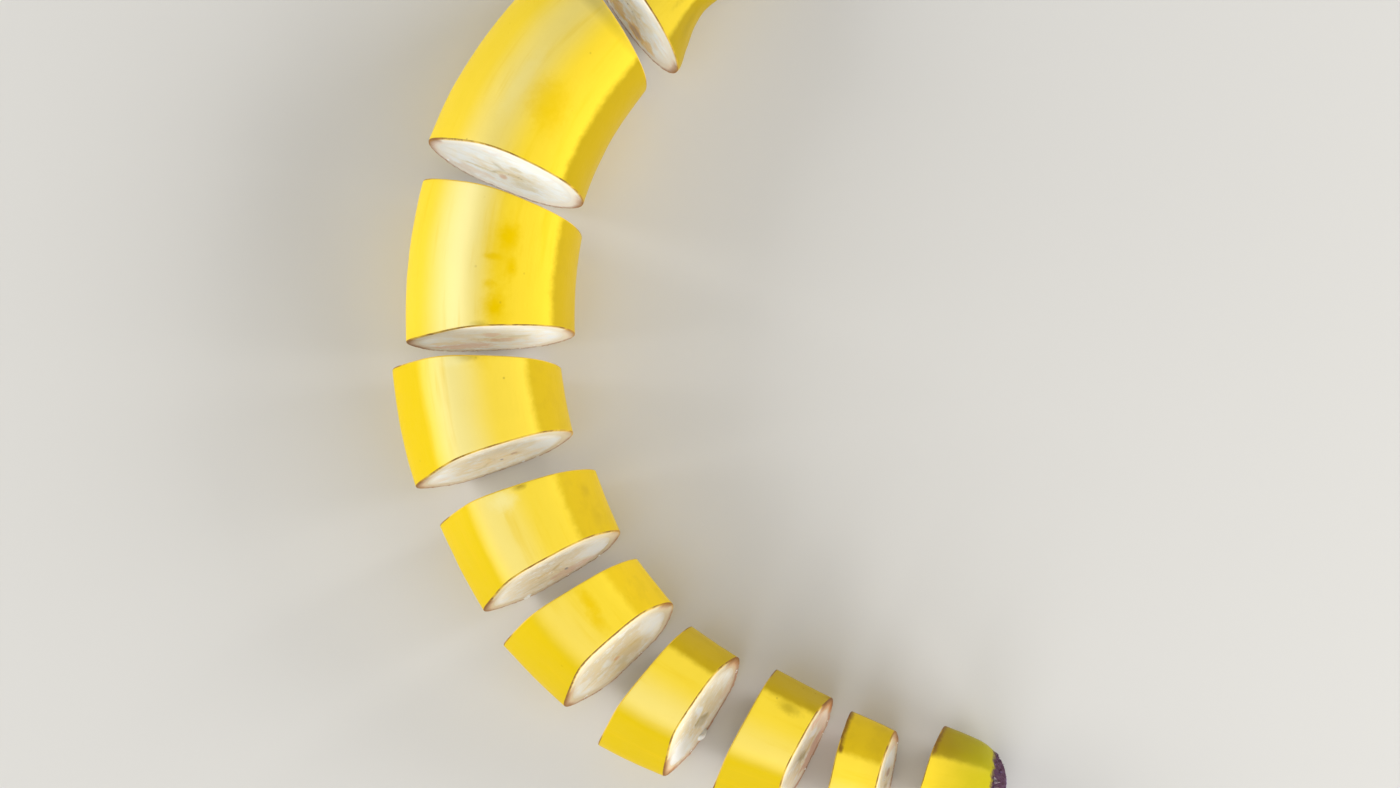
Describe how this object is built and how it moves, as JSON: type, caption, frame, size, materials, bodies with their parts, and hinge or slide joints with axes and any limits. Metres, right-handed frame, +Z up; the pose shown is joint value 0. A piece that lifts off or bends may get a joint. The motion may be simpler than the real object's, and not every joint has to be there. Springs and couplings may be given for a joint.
{
  "type": "sliced banana",
  "caption": "Ripe curved banana in its peel, cut crosswise into short pieces that lie in a row a little apart, stalk and blossom end included.",
  "frame": {"origin": "centre of the bounding box's bottom, on the surface the pieces rest on", "axes": "+Z up, +Y from the blossom end towards the stalk along the row's longest side, +X towards the row's open, inner side"},
  "size_m": [0.1322, 0.2046, 0.035],
  "materials": {
    "peel": "satin ripe banana peel",
    "flesh": "moist cut banana flesh",
    "fibre": "dry dark blossom scar and stalk end"
  },
  "bodies": {
    "root": {"stem_end": "peel", "slice_1": "peel", "slice_2": "peel", "slice_3": "peel", "slice_4": "peel", "slice_5": "peel", "slice_6": "peel", "slice_7": "peel", "slice_8": "peel", "blossom_end": "peel"}
  },
  "joints": []
}
